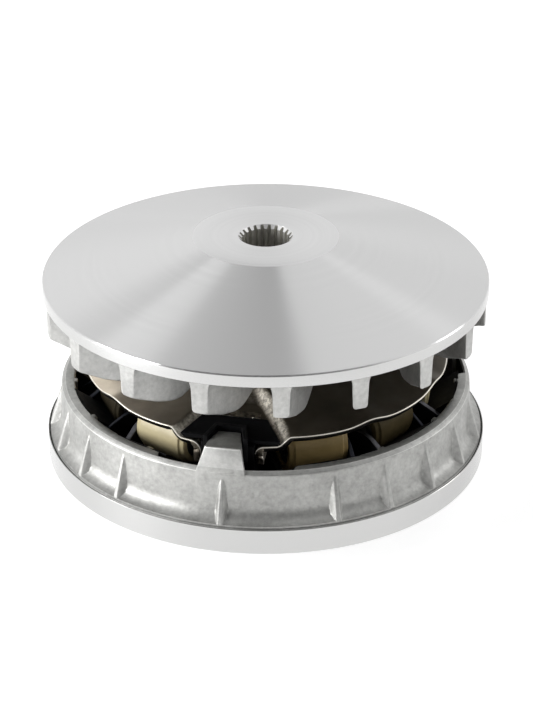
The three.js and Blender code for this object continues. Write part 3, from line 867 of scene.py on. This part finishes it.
def plate_sector(tower):
    """Points of the sheet from one slide's opening round to the next, with lips bent down at both ends."""
    stretches = [np.linspace(0, 0.3, 30), np.linspace(0.3, 0.7, 24)[1:], np.linspace(0.7, 1, 30)[1:]]
    spread = np.concatenate(stretches)
    out = []
    for r in plate_rows():
        half = CUTOUT_HALF - CORNER_R if r < CUTOUT_BACK else float(cutout_half(r))
        grow = float(smooth((r - 55.5) / 4))
        reach = max(r, CUTOUT_BACK)
        turns = {side: math.degrees(math.asin((half + lip_curve(side, grow)[0]) / reach)) for side in LIPS}
        a = np.radians(tower + turns[1] + spread * (120 - turns[1] - turns[-1]) - 90)
        x, y = r * np.cos(a), r * np.sin(a)
        rounding = EDGE_ROUNDING if r == PLATE_R else 0
        sheet = np.stack([x, y, plate_height(x, y) - rounding], axis=-1)
        start = lip_row(1, tower, r, half, grow, turns[1], sheet[0][2])
        end = lip_row(-1, tower + 120, r, half, grow, turns[-1], sheet[-1][2])
        out.append(start[::-1] + list(sheet) + end)
    return np.array(out)


# Each finish of a face is followed by the one of the rim that grows from it.
PLATE_FINISHES_AND_PAINTED_LIGHT = [PLATE, PLATE_EDGE, PLATE_LINE, PLATE_EDGE, PLATE, LIP_EDGE, PLATE_LINE, LIP_EDGE]
SHEET, LINE, LIP = 0, 2, 4  # a lip's face has LIP added to the place of the face beside it


def ramp_plate():
    """The sheet with its openings, lips and folds, thickened downwards."""
    parts = Parts()
    for tower in TOWERS:
        points = plate_sector(tower)
        rows, columns = points.shape[:2]
        slots = []
        for row in range(rows - 1):
            face = LINE if row == rows - 2 else SHEET
            from_end = [min(j, columns - 2 - j) for j in range(columns - 1)]
            slots += [face + (LIP if away < EDGE_COLUMNS else 0) for away in from_end]
        parts.add(points, grid_faces(rows, columns, False, False), slots)
    obj = parts.make("ramp_plate_sheet", PLATE_FINISHES_AND_PAINTED_LIGHT, "ramp_plate", "pressed_steel", sharp=50, merge=0.03)
    mesh = obj.data
    if np.mean([p.normal.z for p in mesh.polygons]) < 0:
        mesh.flip_normals()
    sheet = obj.modifiers.new("sheet", "SOLIDIFY")
    sheet.thickness = PLATE_T * MM
    sheet.offset = -1
    sheet.use_even_offset = False
    sheet.use_quality_normals = True
    sheet.material_offset_rim = 1
    return obj


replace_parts(ramp_plate(), "ramp_plate")


# ---- Slides -------------------------------------------------------------------------------------------
SLIDE_TOP = RIM_Z + 39.2
SLIDE_WALL = 1.7
RAIL_GAP = 0.4
CHANNEL_BACK = RAIL_BACK - 0.7
WING_BACK, WING_FRONT, WING_T = 52.5, 63.8, 1.7
RIGHT_WING_TRIM = (2.6, 2.2)  # how far the right wing stays off its fold, behind and in front


def arm_top(u):
    return track_top(u) - ARM_DROP


def horseshoe(back, front, back_half, front_half):
    """A plan [along, across] open to the front round the tower's rail."""
    near, far = rail_half(CHANNEL_BACK) + RAIL_GAP, rail_half(front) + RAIL_GAP
    left = [(back, -back_half[0]), (front, -front_half[0]), (front, -far), (CHANNEL_BACK, -near)]
    right = [(back, back_half[1]), (front, front_half[1]), (front, far), (CHANNEL_BACK, near)]
    return left + right[::-1]


def slide_piece(k, bearing):
    """A slide: a block between the lips, wings on the plate's arms and a collar round the rail."""
    parts = Parts()
    along, across = direction(bearing)

    def layers(plans, heights):
        rings = []
        for plan, height in zip(plans, heights):
            rings.append([u * along + t * across + np.array([0, 0, height(u)]) for u, t in plan])
        parts.loft(rings)

    half = CUTOUT_HALF - 0.3
    block = horseshoe(CUTOUT_BACK + 1, 66, (half, half), (half, half))
    layers([block, block], [lambda u: RIM_Z + 20, lambda u: arm_top(u) + 0.9])
    backs = [fold_foot(side, WING_BACK) - 0.1 for side in (-1, 1)]
    fronts = [fold_foot(side, WING_FRONT) - 0.1 for side in (-1, 1)]
    backs[1] -= RIGHT_WING_TRIM[0]
    fronts[1] -= RIGHT_WING_TRIM[1]
    lean = WING_T * 0.9
    under = horseshoe(WING_BACK, WING_FRONT, backs, fronts)
    over = horseshoe(WING_BACK, WING_FRONT, [b + lean for b in backs], [f + lean for f in fronts])
    layers([under, over], [lambda u: arm_top(u) + 0.3, lambda u: arm_top(u) + 0.3 + WING_T])
    wall = RAIL_GAP + SLIDE_WALL
    back, front = RAIL_BACK - 2.6, 69
    collar = horseshoe(back, front, [rail_half(back) + wall] * 2, [rail_half(front) + wall] * 2)
    layers([collar, collar], [lambda u: WALL_TOP + 1, lambda u: SLIDE_TOP])
    obj = parts.make(f"slide_block_{k}", [BLACK], "ramp_plate", "black_plastic")
    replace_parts(bevelled(obj, 0.3, 3, 40), f"slide_{k}")


for number, tower_bearing in enumerate(TOWERS, 1):
    slide_piece(number, tower_bearing)


# ---- Roller weights -----------------------------------------------------------------------------------
def placed_ring(name, outline, columns, material, bearing, body, slot, node, radius):
    """A ring about a weight's own axis, from an outline of (radius, distance along the axis)."""
    profile = rounded([(r, s, 0) for r, s in outline], radius)
    along, across = direction(bearing)
    up = np.array([0, 0, 1.0])
    centre = ROLLER_REST_R * along + ROLLER_Z * up
    spokes = [math.cos(a) * along + math.sin(a) * up for a in circle(columns)]
    points = [[centre + s * across + r * spoke for spoke in spokes] for r, s, _ in profile]
    faces = grid_faces(len(profile), columns, True, True)
    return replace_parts(make(name, np.array(points).reshape(-1, 3), faces, [material], body, slot), node)


SLEEVE_BORE_R = 7.45
CORE_R, CORE_BORE_R = 7.4, 4.2


def roller(k, bearing):
    """A weight: a nylon sleeve stepped at both ends, and the core that sits a little inside it."""
    body = f"roller_{k}"
    half = ROLLER_HALF
    step = [(ROLLER_R, half - 2.0), (ROLLER_R - 0.7, half - 1.7), (ROLLER_R - 0.9, half)]
    end = step + [(SLEEVE_BORE_R, half)]
    sleeve = [(r, -s) for r, s in reversed(end)] + end
    # Each sleeve takes the lit tan or a painted-shade copy, by its place in the set.
    finish = TAN_DEEP_SHADE if k == DEEP_SHADE_ROLLER else (TAN_HALF_SHADE, TAN_SHADE, TAN)[(k - 1) % 3]
    placed_ring(f"sleeve_{k}", sleeve, 64, finish, bearing, body, "tan_nylon", f"roller_sleeve_{k}", 0.35)
    core = tube_outline(CORE_BORE_R, CORE_R, 0.8 - half, half - 0.8)
    placed_ring(f"core_{k}", core, 48, SINTER, bearing, body, "weight_steel", f"roller_core_{k}", 0.5)


for number, roller_bearing in enumerate(ROLLERS, 1):
    roller(number, roller_bearing)


# ---- Fixed sheave -------------------------------------------------------------------------------------
TOOTH_R, GROOVE_DEPTH = 8.5, 1.12
SPLINE_ROW_R, MOUTH_ROW_R = 9.0, 9.6  # spline_warp makes teeth of the rows at these two distances
CHAMFER = 1.15
DISC_FINISHES = [CONE_FACE, HUB_RING, BAND, CAST_BLADE, BORE]


def underside(r):
    return FIXED_RIM_Z - EDGE_T + 1.4 + (74 - r) * math.tan(CONE)


def fixed_profile():
    """The fixed sheave's section, from the bore's mouth out over the cone, round the edge and back below."""
    z = FIXED_RIM_Z
    cone_face, hub_face, band, cast, bore = range(len(DISC_FINISHES))
    spline_low = RIM_Z + 60
    boss = CAM_HUB_TOP + 0.05
    top = [(r, HUB_TOP, hub_face) for r in (9.72, 14, 20, HUB_FACE_R - 0.1)]
    top.append((HUB_FACE_R + 0.3, HUB_TOP - 0.1, cone_face))
    run = RIM_R - 0.65 - HUB_FACE_R
    cone = [
        (HUB_FACE_R + 0.3 + run * t, HUB_TOP - 0.1 - run * t * math.tan(CONE), cone_face)
        for t in np.linspace(0.03, 1, 14)
    ]
    edge = [
        (RIM_R - 0.02, z - 0.36, band),
        (RIM_R, z - 0.5, band),
        (RIM_R, z - 2.5, band),
        (RIM_R, z - EDGE_T + 0.25, band),
        (RIM_R - 0.25, z - EDGE_T, cast),
    ]
    under = [(78.6, z - EDGE_T, cast), (77, z - EDGE_T + 0.05, cast), (75.8, z - EDGE_T + 0.5, cast)]
    under += [(r, underside(r), cast) for r in (74, 68, 60, 52, 44, 36, 30, 27)]
    boss_outside = [
        (25.2, underside(27) - 0.3, cast),
        (24, underside(25) - 1.2, cast),
        (23.2, underside(22) - 2.6, cast),
        (22.6, underside(22) - 5, cast),
        (21.2, boss + 3, cast),
        (21, boss + 0.8, cast),
        (20.4, boss + 0.2, cast),
        (19.8, boss, cast),
    ]
    boss_inside = [
        (12.6, boss, bore),
        (12, boss + 0.6, bore),
        (12, spline_low - 0.2, bore),
        (11.8, spline_low, bore),
        (9.7, spline_low, bore),
        (9.4, spline_low + 0.01, bore),
    ]
    length = HUB_TOP - spline_low - 1.8
    spline = [(SPLINE_ROW_R, spline_low + 0.3 + length * t, bore) for t in np.linspace(0, 1, 6)]
    mouth = [(MOUTH_ROW_R, HUB_TOP - 0.14, hub_face)]
    return top + cone + edge + under + boss_outside + boss_inside + spline + mouth


def spline_warp(r, z, angles):
    """Turns the bore's rows into splines, chamfered at the mouth."""
    share = (angles * TEETH / (2 * math.pi)) % 1
    offset = np.abs(share - 0.5)  # 0 in the middle of a tooth, 0.5 in the middle of a groove
    groove = smooth((offset - 0.2) / 0.12)
    splined = np.abs(r - SPLINE_ROW_R) < 0.05
    mouth = np.abs(r - MOUTH_ROW_R) < 0.02
    r = np.where(splined | mouth, TOOTH_R + GROOVE_DEPTH * groove, r)
    return r, np.where(mouth, z - CHAMFER * (1 - groove), z)


# Distances in from a blade's front, each with the rise of the lower edge there or half the thickness.
DIP = [(0, 0), (2, -0.7), (5, -1.9), (10, -3.9), (15, -5.0), (17.5, -5.2)]
BLADE_RISE = DIP + [(20, -4.4), (23, -2.4), (26, 0.4), (28, 4.5), (30, 10.5)]
BLADE_HALF = [(0, 2.65), (8, 2.45), (17, 2.2), (30, 1.8)]
BLADE_STATIONS = [0.0, 0.25, 0.7, 2, 4, 6, 8, 10, 12, 14, 16, 18, 20, 22, 24, 25.5, 27, 28.5, 30]


def between(pairs, s):
    return float(np.interp(s, *zip(*pairs)))


def blade_side(half, bottom, top):
    """One side of a blade's section, from its root in the disc down to the rounded lower edge."""
    root = [(half + 1.3, top), (half + 0.75, top - 1.6), (half + 0.4, top - 2.6), (half + 0.18, top - 4.2)]
    side = [(t, min(max(z, bottom + 2.0), top)) for t, z in root]
    side += [(half - 0.12, bottom + 1.2), (half - 0.3, bottom + 0.55), (half - 0.75, bottom + 0.12)]
    return side + [(half - 1.2, bottom)]


def blade_parts():
    """Fan blades: straight vanes that lean back from the radius, dip in the middle and are rounded below."""
    parts = Parts()
    for k in range(BLADES):
        along, _ = direction(BLADE_BEARING + k * 360 / BLADES)
        start = math.atan2(along[1], along[0])
        inwards = start + math.pi - BLADE_SWEEP
        ahead = np.array([math.cos(inwards), math.sin(inwards), 0])
        side = np.array([math.sin(inwards), -math.cos(inwards), 0])
        sections = []
        for s in BLADE_STATIONS:
            bottom = BLADE_BOTTOM + between(BLADE_RISE, s) + (0.35 if s == 0 else 0)
            half = between(BLADE_HALF, s) - {0.0: 0.4, 0.25: 0.12}.get(s, 0)
            skew = math.tan(BLADE_SWEEP) * max(0, 1 - s / 2)
            place = BLADE_START_R * along + s * ahead
            r = float(np.hypot(place[0], place[1]))
            top = max(underside(r), FIXED_RIM_Z - EDGE_T) + 1.2
            right = blade_side(half, bottom, top)
            outline = right + [(-t, z) for t, z in reversed(right)]
            sections.append([place + t * side + skew * t * ahead + np.array([0, 0, z]) for t, z in outline])
        parts.loft(sections)
    return parts


disc = turned(
    "fixed_disc",
    fixed_profile(),
    circle(TEETH * 24),
    DISC_FINISHES,
    "fixed_sheave",
    "turned_aluminium",
    warp=spline_warp,
)
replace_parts(disc, "fixed_sheave")
blade_parts().make("fixed_blades", [CAST_BLADE], "fixed_sheave", "turned_aluminium", sharp=28)


# ---- Floor, lights and camera -------------------------------------------------------------------------
ELEVATION = math.radians(27.27)
DISTANCE = 0.9104
TARGET = (0.00027, 0.0, (35.5 + RIM_Z) * MM)
FLOOR_GLOW = 0.5
FLOOR_FALL = (0.75, 1.5)  # distances from the axis between which the floor darkens
FAR_FLOOR = 0.62
# Brightness of the sky by its turn in degrees from overhead, about the camera's view mirrored in the floor.
SKY = [(-180, 0.97), (-70, 1.0), (-45, 0.76), (-20, 0.68), (7, 0.53), (10, 0.92), (100, 0.86), (180, 0.97)]
FRONT_SHARE = 0.15  # how bright the low front of the sky is beside the rest
FRONT_FALL = (-0.65, -0.33)  # where the sky goes from dim to bright, as the +Y part of a direction
AIM = Vector((0, 0, 0.04))


def floor():
    """A pale floor that glows a little near the object and darkens far from it."""
    half = 3.0
    mesh = bpy.data.meshes.new("floor")
    corners = [(-half, -half, 0), (half, -half, 0), (half, half, 0), (-half, half, 0)]
    mesh.from_pydata(corners, [], [(0, 1, 2, 3)])
    s = Shader("pale_floor", 0.6)
    fall = s.tree.nodes.new("ShaderNodeMapRange")
    s.link(s.radius(), fall.inputs[0])
    for socket, value in zip(fall.inputs[1:5], (*FLOOR_FALL, 1.0, FAR_FLOOR)):
        socket.default_value = value
    tint = s.two_tone(s.noise(3), 0.2, (0.80, 0.80, 0.80), (0.82, 0.82, 0.82))
    s.colour(s.math("MULTIPLY", tint, fall.outputs[0]))
    s.link(fall.outputs[0], s.bsdf.inputs["Emission Color"])
    s.bsdf.inputs["Emission Strength"].default_value = FLOOR_GLOW
    mesh.materials.append(s.material)
    obj = bpy.data.objects.new("floor", mesh)
    bpy.context.scene.collection.objects.link(obj)


def softbox(name, bearing, height, distance, size, radiance):
    """A soft light at a bearing, given by how bright its face is."""
    light = bpy.data.lights.new(name, "AREA")
    light.shape = "RECTANGLE"
    light.size, light.size_y = size
    light.energy = radiance * math.pi * size[0] * size[1]
    obj = bpy.data.objects.new(name, light)
    turn = math.radians(bearing)
    place = Vector((distance * math.sin(turn), -distance * math.cos(turn), height))
    obj.location = place
    obj.rotation_euler = (AIM - place).to_track_quat("-Z", "Y").to_euler()
    obj.visible_camera = False
    bpy.context.scene.collection.objects.link(obj)


def studio_sky():
    """A pale sky with a darker strip overhead, which turned metal shows as a wedge, and a dim low front."""
    world = bpy.data.worlds.new("studio")
    world.use_nodes = True
    tree = world.node_tree
    background = tree.nodes["Background"]
    way = tree.nodes.new("ShaderNodeTexCoord").outputs["Generated"]

    def node(kind, operation, *values):
        made = tree.nodes.new(kind)
        made.operation = operation
        for socket, value in zip(made.inputs, values):
            if isinstance(value, bpy.types.NodeSocket):
                tree.links.new(value, socket)
            else:
                socket.default_value = value
        return made.outputs["Value"]

    upright = (0, -math.sin(ELEVATION), math.cos(ELEVATION))
    turn = node(
        "ShaderNodeMath",
        "ARCTAN2",
        node("ShaderNodeVectorMath", "DOT_PRODUCT", way, (1, 0, 0)),
        node("ShaderNodeVectorMath", "DOT_PRODUCT", way, upright),
    )
    ramp = tree.nodes.new("ShaderNodeValToRGB")
    place = tree.nodes.new("ShaderNodeMapRange")
    tree.links.new(turn, place.inputs[0])
    place.inputs[1].default_value = -math.pi
    place.inputs[2].default_value = math.pi
    tree.links.new(place.outputs[0], ramp.inputs[0])
    elements = ramp.color_ramp.elements
    while len(elements) < len(SKY):
        elements.new(0.5)
    for element, (degrees, level) in zip(elements, SKY):
        element.position = (degrees + 180) / 360
        element.color = (level, level, level, 1)
    front = tree.nodes.new("ShaderNodeMapRange")
    tree.links.new(node("ShaderNodeVectorMath", "DOT_PRODUCT", way, (0, 1, 0)), front.inputs[0])
    for socket, value in zip(front.inputs[1:5], (*FRONT_FALL, FRONT_SHARE, 1.0)):
        socket.default_value = value
    tree.links.new(ramp.outputs[0], background.inputs[0])
    tree.links.new(front.outputs[0], background.inputs[1])
    bpy.context.scene.world = world


floor()
studio_sky()
softbox("left_box", -70, 0.34, 1.2, (0.7, 0.45), 15.0)
softbox("right_box", 100, 0.40, 1.3, (0.4, 0.5), 4.0)

bpy.context.scene.view_settings.view_transform = "Standard"

camera_data = bpy.data.cameras.new("camera")
camera_data.lens = 126.48
camera_data.sensor_width = 36
camera_data.clip_start = 0.05
camera = bpy.data.objects.new("camera", camera_data)
back_off = Vector((0, -math.cos(ELEVATION), math.sin(ELEVATION))) * DISTANCE
camera.location = Vector(TARGET) + back_off
camera.rotation_euler = (math.pi / 2 - ELEVATION, 0, 0)
bpy.context.scene.collection.objects.link(camera)
bpy.context.scene.camera = camera
